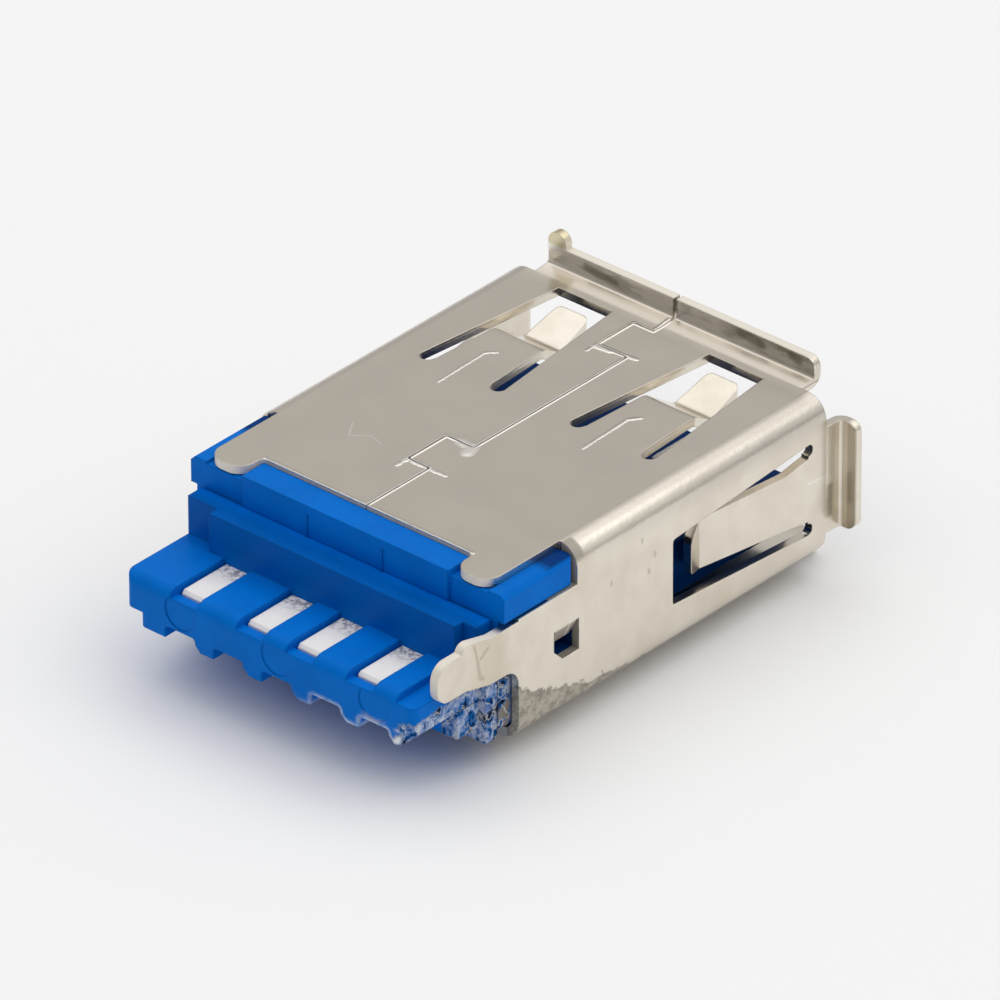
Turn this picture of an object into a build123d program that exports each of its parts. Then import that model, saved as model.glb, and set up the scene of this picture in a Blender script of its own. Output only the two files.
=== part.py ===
from build123d import *
import os

# A nine-contact cable socket: one stamped and folded sheet shell with sprung windows,
# a moulded insulator with a flat tongue, a moulded solder block and nine contact strips.
# Working frame, in millimetres: the mouth faces -Y, +Z is up, X = 0 is the middle of the
# mouth, Y = 0 is the fold of the mouth flanges and Z = 0 is the underside of the shell.

# Shell sheet and tube
shell_width = 13.1
shell_height = 5.72
sheet = 0.30
fold_radius = 0.75
tube_front = 0.75
block_rear = 15.87
wall_rear = block_rear - 0.57
overcut = 1.0

shell_half = shell_width / 2
inner_half = shell_half - sheet
inner_top = shell_height - sheet

# Mouth flanges: a slight ramp, then a sharp bend outward
flange_half_width = shell_half - 1.05
flange_rise = 0.72
flange_rear = 0.10
flange_ramp = 0.05
flange_bend = 0.12
flange_bends = (1.0, flange_bend)
flange_corner = 0.35
side_flange_half_height = shell_height / 2 - 0.93
side_flange_rise = 0.65
runner_stub_width = 0.72
runner_stub_rise = 0.50

# Seam where the two ends of the folded sheet meet, with its two locking keys
seam_gap = 0.05
seam_corner = 0.08
seam_front_x = 0.20
seam_middle_x = -0.20
seam_rear_x = 0.03
front_key_x = 1.05
front_key_y = (1.15, 2.85)
rear_key_x = 0.93
rear_key_y = (10.15, 11.90)
flange_split = 0.12

# Rear edge of the top plate and the cut-away folds beside it
plate_rear = block_rear - 1.00
plate_half_width = shell_half - fold_radius
fold_cut_front = block_rear - 3.32
fold_cut_floor = shell_height - 1.27
fold_cut_corner = 0.30
lobe_width = 1.45
lobe_rear = block_rear - 0.02
lobe_radius = 0.60
lobe_root_radius = 0.25

# Sprung windows in the top, bottom and side walls
plate_spring_x = 3.12
plate_spring_root = 7.15
plate_window_length = 6.28
plate_window_root = 1.735
plate_window_tip = 1.10
plate_slot_radius = 0.265
plate_spring_stations = ((2.90, 1.03), (4.01, 0.76), (5.55, 0.64))
top_spring_dips = (0.0, 0.70, 0.19)
bottom_spring_dips = (0.0, 0.45, 0.05)
plate_spring_bends = (0.30, 0.25)
side_spring_z = shell_height / 2 - 0.08
side_spring_root = 1.38
side_window_length = 6.68
side_window_root = 1.645
side_window_tip = 1.175
side_slot_radius = 0.21
side_spring_stations = ((1.30, 0.98), (4.86, 0.90), (5.68, 0.60))
side_spring_dips = (0.0, 0.50, 0.10)
side_spring_bends = (1.00, 0.15)
spring_tip_radius = 0.25
spring_root_overlap = 0.30
window_corner = 0.12

# Lanced barb that holds the insulator, in each side wall
barb_root = block_rear - 2.21
barb_z = shell_height / 2 - 0.21
barb_window_length = 1.18
barb_window_half = 0.56
barb_window_slant = 0.40
barb_length = 0.66
barb_side_gap = 0.10
barb_dip = 0.36

# Solder ear at the rear of one side wall, joggled in beside the solder block
ear_top = shell_height - 1.34
ear_bottom = shell_height - 3.00
ear_end_top = shell_height - 1.60
ear_step = 0.30
ear_joggle_front = block_rear + 0.73
ear_joggle_rear = block_rear + 1.53
ear_rear = block_rear + 2.85
ear_lobe_radius = 0.55
ear_notch_radius = 0.45
ear_root_radius = 0.60

# Insulator: clearance to the shell, tongue and rear block
fit = 0.05
base_front = block_rear - 4.27
tongue_half_width = inner_half - 0.70
tongue_bottom = 1.00
tongue_top = 2.86
tongue_front = 1.10
tongue_edge = 0.30
pad_half_width = shell_half - 2.30
pad_top = shell_height - 0.12
pad_step = 0.10
corner_half_width = shell_half - 0.10
corner_top = shell_height - 0.26
corner_edge = 0.16
corner_round = 0.25
rear_rib_x = 1.55
rear_rib_width = 0.10
rear_rib_top = pad_top - 0.30

# Solder block behind the insulator
block_half_width = inner_half - ear_step
bar_top = shell_height - 1.22
bar_bottom = 2.60
bar_rear = block_rear + 1.08
bar_centre = (0.55 - block_half_width, block_half_width - 1.21)
bar_end_rear = block_rear + 0.70
sole_bottom = 0.35
sole_top = 2.60
sole_rear = block_rear + 0.58
heel_bottom = 0.90
heel_rear = block_rear + 1.63
spigot_half_width = inner_half - 1.25
spigot_bottom = 1.20
spigot_top = shell_height - 1.52
spigot_front = block_rear - 1.97
paddle_length = 2.93
paddle_rear = bar_end_rear + paddle_length
paddle_top = 3.12
paddle_bottom = 1.38
paddle_foot_half_width = block_half_width - 0.55
paddle_ledge_bottom = 1.90
paddle_edge = 0.42
paddle_corner = 0.30
ear_seat_half_width = block_half_width - 0.75
ear_seat_top = 2.87
ear_seat_front = heel_rear + 0.10
tail_gap = 0.09
groove_lip = 2.84
channel_width = 1.25
channel_roof = 1.80
channel_edge = 0.15
channel_flare = 0.22
ejector_z = 2.50
ejector_radius = 0.62
ejector_depth = 0.03

# Contact strips
strip = 0.25
strip_width = 0.70
power_pitch = (3.50, 1.00)
power_tail_x = (-3.72, -1.25, 0.80, 3.55)
power_tail_width = 0.95
power_tail_level = 2.95
speed_pitch = 2.00
speed_tail_shift = -0.33
speed_tail_width = 0.90
tail_widening = (block_rear - 0.57, block_rear - 0.07)
tail_lift = (base_front + 0.40, base_front + 1.20)
tail_rear = paddle_rear - 0.50
tail_edge = 0.11
spring_level = 2.86
spring_free = base_front - 1.20
beam_rise_start = 8.20
beam_crest_y = 6.00
beam_crest = 3.40
beam_tip_y = 4.90
beam_tip = 2.60
beam_bends = (0.5, 1.0, 1.0, 1.0)
beam_slot_front = 4.45
beam_slot_width = 0.95
beam_slot_floor = 1.95
speed_level = channel_roof
speed_pad_level = 2.90
speed_riser = (3.55, 4.15)
speed_pad_front = 1.75
speed_bend = 0.40

front_face = flange_rear - sheet
frame_shift = (0.0, -(front_face + paddle_rear) / 2, flange_rise)


def block(x_range, y_range, z_range):
    """A straight block between two corners."""
    size = [high - low for low, high in (x_range, y_range, z_range)]
    middle = [(high + low) / 2 for low, high in (x_range, y_range, z_range)]
    return Pos(*middle) * Box(*size)


def bent_section(points, bends, thickness):
    """Closed section of a sheet on the right of a line of points, with inner bend radii."""
    corners = [Vector(*point) for point in points]
    runs = [(end - start).normalized() for start, end in zip(corners, corners[1:])]
    rights = [Vector(run.Y, -run.X) for run in runs]
    far_corners = [corners[0] + rights[0] * thickness]
    near_radii = []
    far_radii = []
    for corner, run, before, after, bend in zip(corners[1:], runs, rights, rights[1:], bends):
        middle = (before + after).normalized()
        far_corners.append(corner + middle * (thickness / middle.dot(after)))
        turns_left = run.dot(after) > 0
        near_radii.append(bend if turns_left else bend + thickness)
        far_radii.append(bend + thickness if turns_left else bend)
    far_corners.append(corners[-1] + rights[-1] * thickness)
    near = FilletPolyline(*corners, radius=near_radii)
    far = FilletPolyline(*far_corners, radius=far_radii)
    return make_face(near + far + Line(near @ 0, far @ 0) + Line(near @ 1, far @ 1))


def wall_frames(x, z, along, depth):
    """Frames on the outside of a wall pair: local X along the wall, local Z outward."""
    low = Plane(origin=(-x, depth, z[0]), x_dir=(0, along, 0), z_dir=(-1, 0, 0) if x else (0, 0, -1))
    high = Plane(origin=(x, depth, z[1]), x_dir=(0, along, 0), z_dir=(1, 0, 0) if x else (0, 0, 1))
    return low, high


def window(length, root_half, tip_half, slot_radius):
    """Tapered window whose two slots end round beside the root of its spring."""
    outline = make_face(
        Polyline(
            (slot_radius, root_half), (length, tip_half), (length, -tip_half), (slot_radius, -root_half),
            close=True,
        )
    )
    outline = fillet(outline.vertices().group_by(Axis.X)[-1], window_corner)
    for turn in (-1, 1):
        outline += Pos(slot_radius, turn * (root_half - slot_radius)) * Circle(slot_radius)
    return extrude(outline, amount=2 * sheet, both=True)


def spring(stations, dips, bends, root_half):
    """Bent finger of the sheet, rooted at the origin and running along local X."""
    points = [(-spring_root_overlap, 0.0)]
    points += [(station[0], -dip) for station, dip in zip(stations, dips)]
    section = bent_section(points, bends, sheet)
    tallest = root_half + sheet
    strip_solid = extrude(Plane.XZ * section, amount=tallest, both=True)
    half_widths = [(-spring_root_overlap, root_half)] + [tuple(station) for station in stations]
    mirrored = [(along, -half) for along, half in reversed(half_widths)]
    outline = make_face(Polyline(*half_widths, *mirrored, close=True))
    outline = fillet(outline.vertices().group_by(Axis.X)[-1], spring_tip_radius)
    return strip_solid & extrude(outline, amount=shell_height / 2, both=True)


def flange(half_width, rise):
    """Flared flange: local X runs to the mouth, local Z outward from the wall."""
    corner = tube_front - flange_rear
    points = [(-spring_root_overlap, 0.0), (0.0, 0.0), (corner, flange_ramp), (corner, rise)]
    section = bent_section(points, flange_bends, sheet)
    solid = extrude(Plane.XZ * section, amount=half_width, both=True)
    tip_edges = solid.edges().filter_by(Axis.X).group_by(Axis.Z)[-1]
    return fillet(tip_edges, flange_corner)


def tube():
    """Folded tube of the shell between the mouth flanges and the rear edge."""
    outer = RectangleRounded(shell_width, shell_height, fold_radius)
    inner = RectangleRounded(shell_width - 2 * sheet, shell_height - 2 * sheet, fold_radius - sheet)
    mouth = Plane(origin=(0, tube_front, shell_height / 2), x_dir=(1, 0, 0), z_dir=(0, 1, 0))
    return extrude(mouth * (outer - inner), amount=lobe_rear - tube_front)


def rear_cuts():
    """What is cut away from the tube behind the top plate, the folds and the side walls."""
    beyond = lobe_rear + overcut
    outside = shell_half + overcut
    gap = Pos(0, (plate_rear + beyond) / 2) * Rectangle(2 * outside, beyond - plate_rear)
    for turn in (-1, 1):
        middle = turn * (plate_half_width - lobe_width / 2)
        lobe = Pos(middle, (plate_rear + lobe_rear) / 2 - lobe_radius / 2)
        lobe *= Rectangle(lobe_width, lobe_rear - plate_rear + lobe_radius)
        lobe = fillet(lobe.vertices().group_by(Axis.Y)[-1], lobe_radius)
        gap -= lobe
    roots = [v for v in gap.vertices().group_by(Axis.Y)[0] if abs(v.X) < plate_half_width - lobe_width / 2]
    gap = fillet(roots, lobe_root_radius)
    cuts = Pos(0, 0, fold_cut_floor) * extrude(gap, amount=shell_height)
    for turn in (-1, 1):
        sides = sorted((turn * plate_half_width, turn * outside))
        notch = block(sides, (fold_cut_front, beyond), (fold_cut_floor, shell_height + overcut))
        inner_edge = notch.edges().filter_by(Axis.Z).group_by(Axis.Y)[0].sort_by(Axis.X)[::-turn][:1]
        notch = fillet(inner_edge, fold_cut_corner)
        cuts += notch
    cuts += block((-outside, outside), (wall_rear, beyond), (-overcut, fold_cut_floor + fit))
    return cuts


def ear():
    """Solder ear: a strip of the side wall that steps in and ends in two round lobes."""
    face = -shell_half
    start = wall_rear - fold_radius
    points = [
        (face, start), (face, ear_joggle_front),
        (face + ear_step, ear_joggle_rear), (face + ear_step, ear_rear),
    ]
    section = bent_section(points, (sheet, sheet), sheet)
    strip_solid = extrude(section, amount=shell_height)
    outline = Rectangle(ear_rear - start, ear_end_top - ear_bottom, align=(Align.MAX, Align.MIN))
    outline = Pos(ear_rear, ear_bottom) * outline
    outline = fillet(outline.vertices().group_by(Axis.X)[-1], ear_lobe_radius)
    shoulder_length = ear_joggle_rear + strip - start
    shoulder = Rectangle(shoulder_length, ear_top - ear_bottom, align=(Align.MIN, Align.MIN))
    shoulder = Pos(start, ear_bottom) * shoulder
    shoulder = fillet(shoulder.vertices().group_by(Axis.X)[-1].sort_by(Axis.Y)[-1:], ear_notch_radius)
    root = Rectangle(ear_root_radius, ear_root_radius, align=(Align.MIN, Align.MAX))
    root -= Pos(ear_root_radius, -ear_root_radius) * Circle(ear_root_radius)
    root = Pos(wall_rear, ear_bottom) * root
    plan = Plane.YZ * (outline + shoulder + root)
    return strip_solid & extrude(plan, amount=shell_width, both=True)


def seam():
    """Thin gap between the two ends of the sheet, stepping round both keys."""
    points = [
        (seam_front_x, front_face - overcut),
        (seam_front_x, front_key_y[0]), (front_key_x, front_key_y[0]),
        (front_key_x, front_key_y[1]), (seam_middle_x, front_key_y[1]),
        (seam_middle_x, rear_key_y[0]), (rear_key_x, rear_key_y[0]),
        (rear_key_x, rear_key_y[1]), (seam_rear_x, rear_key_y[1]),
        (seam_rear_x, lobe_rear + overcut),
    ]
    path = bent_section(points, [seam_corner] * (len(points) - 2), seam_gap)
    gap = Pos(0, 0, inner_top - sheet) * extrude(path, amount=2 * overcut)
    middle = seam_front_x + seam_gap / 2
    split = block(
        (middle - flange_split / 2, middle + flange_split / 2),
        (front_face - overcut, flange_rear + flange_bend),
        (inner_top - sheet, shell_height + overcut),
    )
    return gap + split


def runner_stub():
    """Snapped-off stub of the stamping strip, left on one end of the top flange."""
    height = flange_rise + runner_stub_rise
    stub = Box(runner_stub_width, sheet, height, align=(Align.MAX, Align.MIN, Align.MIN))
    stub = fillet(stub.edges().filter_by(Axis.Y).group_by(Axis.Z)[-1], runner_stub_width * 0.48)
    return Pos(flange_half_width, front_face, shell_height) * stub


def barb(frame, up):
    """One lanced barb: its window, and its tab bent in from the window's upper edge."""
    half = up * barb_window_half
    corners = [
        (0, half), (barb_window_length, half), (barb_window_length, -half), (barb_window_slant, -half),
        (0, barb_window_slant * up - half),
    ]
    opening = extrude(make_face(Polyline(*corners, close=True)), amount=2 * sheet, both=True)
    section = bent_section([(-sheet, 0), (0, 0), (barb_length, -barb_dip)], (sheet / 2,), sheet)
    width = barb_window_length - 2 * barb_side_gap
    hinge = Plane(origin=(barb_window_length / 2, half, 0), x_dir=(0, -up, 0), z_dir=(-up, 0, 0))
    tab = extrude(hinge * section, amount=width / 2, both=True)
    return frame.location * opening, frame.location * tab


def make_shell():
    """The stamped and folded sheet shell, one piece."""
    shell = tube() - rear_cuts()
    sides = (side_spring_z, side_spring_z)
    ends = (0.0, shell_height)
    plates = wall_frames(0, ends, -1, plate_spring_root)
    plate_window = window(plate_window_length, plate_window_root, plate_window_tip, plate_slot_radius)
    for frame, dips in zip(plates, (bottom_spring_dips, top_spring_dips)):
        for turn in (-1, 1):
            spot = frame.location * Pos(0, turn * plate_spring_x, 0)
            shell -= spot * plate_window
            root_half = plate_window_root - 2 * plate_slot_radius
            shell += spot * spring(plate_spring_stations, dips, plate_spring_bends, root_half)
    side_window = window(side_window_length, side_window_root, side_window_tip, side_slot_radius)
    for frame in wall_frames(shell_half, sides, 1, side_spring_root):
        shell -= frame.location * side_window
        root_half = side_window_root - 2 * side_slot_radius
        shell += frame.location * spring(side_spring_stations, side_spring_dips, side_spring_bends, root_half)
    for frame, up in zip(wall_frames(shell_half, (barb_z, barb_z), -1, barb_root), (1, -1)):
        opening, tab = barb(frame, up)
        shell -= opening
        shell += tab
    for frame in wall_frames(0, ends, -1, tube_front):
        shell += frame.location * flange(flange_half_width, flange_rise)
    for frame in wall_frames(shell_half, sides, -1, tube_front):
        shell += frame.location * flange(side_flange_half_height, side_flange_rise)
    shell += runner_stub()
    shell += ear()
    return shell - seam()


def tongue():
    """Flat tongue of the insulator, with chamfered front edges."""
    body = block(
        (-tongue_half_width, tongue_half_width), (tongue_front, base_front + fit), (tongue_bottom, tongue_top)
    )
    front = body.faces().sort_by(Axis.Y)[0]
    body = chamfer(front.edges(), tongue_edge)
    return body


def rear_block():
    """Block that fills the rear of the shell and shows through its cut-away folds."""
    half = inner_half - fit
    body = block((-half, half), (base_front, block_rear), (sheet + fit, inner_top - fit))
    body = fillet(body.edges().filter_by(Axis.Y), fold_radius - sheet)
    corners = block(
        (-corner_half_width, corner_half_width),
        (fold_cut_front + fit, block_rear),
        (fold_cut_floor + fit, corner_top),
    )
    corners = chamfer(corners.edges().filter_by(Axis.Y).group_by(Axis.Z)[-1], corner_edge)
    corners = fillet(corners.edges().filter_by(Axis.Z).group_by(Axis.Y)[0], corner_round)
    under_plate = block(
        (-plate_half_width, plate_half_width),
        (base_front, lobe_rear + fit),
        (inner_top - fit, shell_height + overcut),
    )
    body += corners - under_plate
    pad_rear = block_rear + pad_step
    body += block((-pad_half_width, pad_half_width), (plate_rear + fit, pad_rear), (bar_top, pad_top))
    for x in (-rear_rib_x, rear_rib_x):
        body += block(
            (x - rear_rib_width / 2, x + rear_rib_width / 2),
            (pad_rear - fit, pad_rear + fit),
            (bar_top, rear_rib_top),
        )
    return body


def spigot(clearance):
    """Part of the solder block that plugs into the insulator."""
    half = spigot_half_width + clearance
    return block(
        (-half, half),
        (spigot_front - clearance, block_rear + fit),
        (spigot_bottom - clearance, spigot_top + clearance),
    )


def barb_pockets():
    """Pockets in the insulator's sides for the barbs of the shell."""
    reach = barb_window_half + fit
    pockets = None
    for turn in (-1, 1):
        x_range = sorted((turn * (shell_half - barb_dip - 2 * sheet), turn * (shell_half + overcut)))
        pocket = block(
            x_range,
            (barb_root - barb_window_length - fit, barb_root + fit),
            (barb_z - reach, barb_z + reach),
        )
        pockets = pocket if pockets is None else pockets + pocket
    return pockets


def beam_slots():
    """Slots in the top of the tongue that the sprung contacts move in."""
    slots = None
    for x in power_places():
        slot = block(
            (x - beam_slot_width / 2, x + beam_slot_width / 2), (beam_slot_front, spring_free),
            (beam_slot_floor, tongue_top + overcut),
        )
        slots = slot if slots is None else slots + slot
    return slots


def power_places():
    """X of the four sprung contacts, from left to right seen at the mouth."""
    outer, inner = power_pitch
    return (-outer, -inner, inner, outer)


def speed_places():
    """X of the five flat contacts, from left to right seen at the mouth."""
    return tuple(speed_pitch * step for step in (-2, -1, 0, 1, 2))


def cut_strip(section, x, tail_x, tail_width, outside):
    """One contact from a bent strip: narrow at the tongue, wider and shifted at its solder tail."""
    levels = (-overcut, shell_height + overcut)
    narrow = block((x - strip_width / 2, x + strip_width / 2), (0, tail_widening[1]), levels)
    wide = block((tail_x - tail_width / 2, tail_x + tail_width / 2), (tail_widening[0], paddle_rear), levels)
    contact = extrude(Plane.YZ * section, amount=shell_half, both=True) & (narrow + wide)
    end_edges = contact.edges().filter_by(Axis.X).group_by(Axis.Y)[-1]
    return chamfer(end_edges.sort_by(Axis.Z)[outside], tail_edge)


def sprung_contact(x, tail_x):
    """Contact with a sprung beam at the mouth and a flat solder tail at the rear."""
    points = [
        (beam_tip_y, beam_tip), (beam_crest_y, beam_crest), (beam_rise_start, spring_level),
        (tail_lift[0], spring_level), (tail_lift[1], power_tail_level), (tail_rear, power_tail_level),
    ]
    return cut_strip(bent_section(points, beam_bends, strip), x, tail_x, power_tail_width, -1)


def flat_contact(x, tail_x):
    """Contact that lies in the tongue, with its tail under the solder block."""
    points = [
        (speed_pad_front, speed_pad_level), (speed_riser[0], speed_pad_level),
        (speed_riser[1], speed_level), (tail_rear, speed_level),
    ]
    return cut_strip(bent_section(points, (speed_bend, speed_bend), strip), x, tail_x, speed_tail_width, 0)


def make_insulator(contacts):
    """The insulator moulded round the flat contacts, with slots for the sprung ones."""
    body = tongue() + rear_block()
    body -= spigot(fit)
    body -= barb_pockets()
    body -= beam_slots()
    for contact in contacts:
        body -= contact
    return body


def speed_tails():
    """X of the five tails under the solder block, from left to right seen at the mouth."""
    return tuple(x + speed_tail_shift for x in speed_places())


def rounded_plate(half_width, bottom):
    """Plate with a rounded rear edge on top and rounded rear corners."""
    front = bar_end_rear - sheet
    side = Pos((front + paddle_rear) / 2, (bottom + paddle_top) / 2)
    side *= Rectangle(paddle_rear - front, paddle_top - bottom)
    side = fillet(side.vertices().group_by(Axis.X)[-1].sort_by(Axis.Y)[-1:], paddle_edge)
    plan = Pos(0, (front + paddle_rear) / 2) * Rectangle(2 * half_width, paddle_rear - front)
    plan = fillet(plan.vertices().group_by(Axis.Y)[-1], paddle_corner)
    return extrude(Plane.YZ * side, amount=half_width, both=True) & extrude(plan, amount=shell_height)


def channel(x):
    """Cutter for one channel under the paddle, flared at one side of its mouth."""
    half = channel_width / 2
    points = [
        (half, -overcut), (half, channel_roof), (-half, channel_roof),
        (-half, paddle_bottom + channel_flare), (-half - channel_flare, paddle_bottom),
        (-half - channel_flare, -overcut),
    ]
    outline = make_face(Polyline(*points, close=True))
    roof_corners = [v for v in outline.vertices() if v.Y > channel_roof - fit]
    outline = fillet(roof_corners, channel_edge)
    section = Plane(origin=(x, heel_rear, 0), x_dir=(1, 0, 0), z_dir=(0, -1, 0)) * outline
    return extrude(section, amount=heel_rear - paddle_rear - overcut)


def paddle():
    """Plate behind the bar that carries the solder tails on both faces."""
    body = rounded_plate(block_half_width, paddle_ledge_bottom)
    body += rounded_plate(paddle_foot_half_width, paddle_bottom)
    far = paddle_rear + overcut
    body -= block(
        (-block_half_width - overcut, -ear_seat_half_width),
        (ear_seat_front, far),
        (ear_seat_top, shell_height),
    )
    for x in power_tail_x:
        half = power_tail_width / 2 + tail_gap
        body -= block(
            (x - half, x + half),
            (bar_end_rear, tail_rear + tail_gap),
            (power_tail_level - strip, shell_height),
        )
        body -= block((x - half, x + half), (tail_rear, far), (groove_lip, shell_height))
    for x in speed_tails():
        body -= channel(x)
    for x in speed_tails()[::2]:
        mark = Plane(origin=(x, paddle_rear, ejector_z), z_dir=(0, -1, 0)) * Circle(ejector_radius)
        body -= extrude(mark, amount=ejector_depth)
    return body


def make_solder_block(contacts):
    """The rear moulding: spigot, bar, sole, heel and solder paddle in one piece."""
    front = block_rear + fit
    half = inner_half - fit
    body = spigot(0) + paddle()
    body += block((-block_half_width, block_half_width), (front, bar_end_rear), (bar_bottom, bar_top))
    body += block(bar_centre, (front, bar_rear), (bar_bottom, bar_top))
    body += block((-half, half), (front, sole_rear), (sole_bottom, sole_top))
    heel_top = channel_roof + fit
    body += block((-block_half_width, block_half_width), (front, heel_rear), (heel_bottom, heel_top))
    for contact in contacts:
        body -= contact
    return body


def make_parts():
    """All pieces in the working frame, by name."""
    contacts = {}
    power_names = ("vbus", "data_minus", "data_plus", "ground")
    for name, x, tail_x in zip(power_names, power_places(), power_tail_x):
        contacts["contact_" + name] = sprung_contact(x, tail_x)
    flat_names = ("receive_minus", "receive_plus", "drain", "transmit_minus", "transmit_plus")
    for name, x, tail_x in zip(flat_names, speed_places(), speed_tails()):
        contacts["contact_" + name] = flat_contact(x, tail_x)
    pieces = {
        "shell": make_shell(),
        "insulator": make_insulator(contacts.values()),
        "solder_block": make_solder_block(contacts.values()),
    }
    pieces.update(contacts)
    return pieces


os.makedirs("parts", exist_ok=True)
for part_name, piece in make_parts().items():
    export_step(Pos(*frame_shift) * piece, f"parts/{part_name}.step")
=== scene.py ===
import math

import bpy
from mathutils import Matrix, Vector


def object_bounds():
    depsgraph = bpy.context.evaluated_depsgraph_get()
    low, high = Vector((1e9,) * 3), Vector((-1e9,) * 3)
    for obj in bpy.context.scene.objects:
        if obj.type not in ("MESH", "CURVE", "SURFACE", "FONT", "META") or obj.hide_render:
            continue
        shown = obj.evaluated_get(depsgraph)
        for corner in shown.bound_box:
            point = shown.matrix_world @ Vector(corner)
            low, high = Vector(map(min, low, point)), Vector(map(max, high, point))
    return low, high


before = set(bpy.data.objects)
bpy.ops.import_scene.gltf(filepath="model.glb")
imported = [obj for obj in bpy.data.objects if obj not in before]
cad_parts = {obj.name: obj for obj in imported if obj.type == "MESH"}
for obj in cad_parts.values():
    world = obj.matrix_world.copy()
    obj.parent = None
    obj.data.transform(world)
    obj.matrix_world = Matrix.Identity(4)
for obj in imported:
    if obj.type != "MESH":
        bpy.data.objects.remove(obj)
cad_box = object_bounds()

MM = 0.001

# Where the drawing's origin (fold of the mouth, underside of the shell) lies in the frame.
DRAWING_ORIGIN = Vector((0.0, -9.65, 0.72))

# Camera: the photograph's direction, from behind and above the solder end.
CAMERA_AZIMUTH = math.radians(221.34)
CAMERA_ELEVATION = math.radians(31.32)
CAMERA_ROLL = math.radians(-0.17)
CAMERA_DISTANCE = 500 * MM
CAMERA_AIM = Vector((0.504, -1.520, 3.349)) * MM
CAMERA_LENS = 577.4
CAMERA_CLIP = (0.01, 10)
SENSOR_WIDTH = 36.0

FLOOR_SIZE = 2000 * MM
FLOOR_COLOUR = (0.985, 0.985, 0.985, 1.0)
FLOOR_ROUGHNESS = 0.9
FLOOR_SPECULAR = 0.1
BACKDROP = (0.93, 0.93, 0.94, 1.0)

# The surround: its level from the mouth's side to the camera's side, and where it changes. Then
# soft areas as (direction, angle of full strength, angle where it ends, strength added).
AMBIENT_RANGE = (0.56, 0.37)
AMBIENT_TURN = (-0.7, 0.7)
SOFT_AREAS = (
    ((-0.08, 0.0, 1.0), 38, 60, 0.84),
    ((-0.60, -0.60, 0.62), 8, 30, 0.34),
    ((-0.45, 0.80, 0.35), 15, 60, -0.30),
)

# Base colours, as linear values.
NICKEL = (0.69, 0.63, 0.545, 1.0)
# Nickel of the walls, painted lighter than the top plate's as painted light.
NICKEL_LIT_SIDE = (0.79, 0.735, 0.64, 1.0)
NICKEL_WARM = (0.73, 0.665, 0.565, 1.0)
# Darker nickel for the painted shade on the upper folds.
NICKEL_FOLD_SHADE = (0.58, 0.535, 0.475, 1.0)
# Pale nickel for painted highlights, the flange backs painted lighter, and a pale scratch.
NICKEL_HIGHLIGHT_AND_SCRATCH = (0.92, 0.88, 0.82, 1.0)
# Dark olive for tarnish on the flanges, and for painted shade in creases and hollows on the side.
TARNISH_AND_SHADE = (0.25, 0.215, 0.145, 1.0)
STUB_STAIN = (0.66, 0.58, 0.36, 1.0)
# Tones of the near wall's lower band, partly scuffs and partly painted floor reflection and shadow.
SCUFF_REFLECTION_PALE = (0.56, 0.52, 0.45, 1.0)
SCUFF_REFLECTION_DARK = (0.27, 0.24, 0.20, 1.0)
BARB_LIT_GREY = (0.34, 0.31, 0.26, 1.0)
# Pale colour of the sheared rims, a painted highlight.
SHEARED_RIM_HIGHLIGHT = (0.86, 0.80, 0.70, 1.0)
# Warm dark nickel for the painted shade at the ear's root.
EAR_ROOT_SHADE = (0.64, 0.565, 0.455, 1.0)
# Near black for dark stains on the flange and for the painted shade in its split.
STAIN_AND_SPLIT_SHADE = (0.10, 0.085, 0.055, 1.0)
BLUE = (0.0, 0.172, 0.68, 1.0)
BLUE_DEEP = (0.0, 0.150, 0.60, 1.0)
# Dark blue for painted shade inside the shell and on the bar.
BLUE_PAINTED_SHADE = (0.0, 0.04, 0.20, 1.0)
HOLE_SHADE = (0.002, 0.006, 0.03, 1.0)
PALE_STREAK = (0.74, 0.77, 0.79, 1.0)
TIN = (0.98, 0.95, 0.92, 1.0)
TIN_DULL = (0.93, 0.90, 0.88, 1.0)
# Grey for the painted shade on the tin tails near the moulding.
TIN_PAINTED_SHADE = (0.30, 0.30, 0.33, 1.0)

# Plastic partly rubbed and partly painted with the floor's reflection and soft shadow,
# from its darkest pits to its palest places: (noise value, colour).
RUBBED_BLUE_AND_REFLECTION = (
    (0.36, (0.003, 0.010, 0.045, 1.0)),
    (0.43, (0.0, 0.11, 0.40, 1.0)),
    (0.48, (0.10, 0.20, 0.46, 1.0)),
    (0.56, (0.27, 0.37, 0.64, 1.0)),
    (0.66, (0.55, 0.60, 0.70, 1.0)),
)
RUBBED_RIM_AND_REFLECTION = (
    (0.32, (0.22, 0.44, 0.74, 1.0)),
    (0.43, (0.52, 0.66, 0.82, 1.0)),
    (0.54, (0.86, 0.90, 0.93, 1.0)),
)

# Noises, as (cells per millimetre, detail, roughness, distortion where there is any).
BLOTCH_NOISE = (0.55, 4.0, 0.6)
GRAIN_NOISE = (24.0, 2.0, 0.6)
STAIN_NOISE = (1.3, 4.0, 0.6)
RAGGED_NOISE = (2.3, 5.0, 0.60, 0.4)
LUMP_NOISE = (3.4, 6.0, 0.70, 0.35)
PEEL_NOISE = (5.5, 3.0, 0.6)
BLUE_CLOUD_NOISE = (0.8, 3.0, 0.5)
BLUE_GRAIN_NOISE = (16.0, 2.0, 0.6)
RIM_NOISE = (2.4, 4.0, 0.65)
BLOCK_SIDE_NOISE = (1.8, 4.0, 0.6)
PATCH_NOISE = (2.3, 4.0, 0.58, 0.3)
STRAND_NOISE = (1.7, 4.0, 0.6, 0.4)
TIN_CLOUD_NOISE = (2.2, 3.0, 0.5)
TIN_MOTTLE_NOISE = (5.5, 4.0, 0.7)

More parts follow.
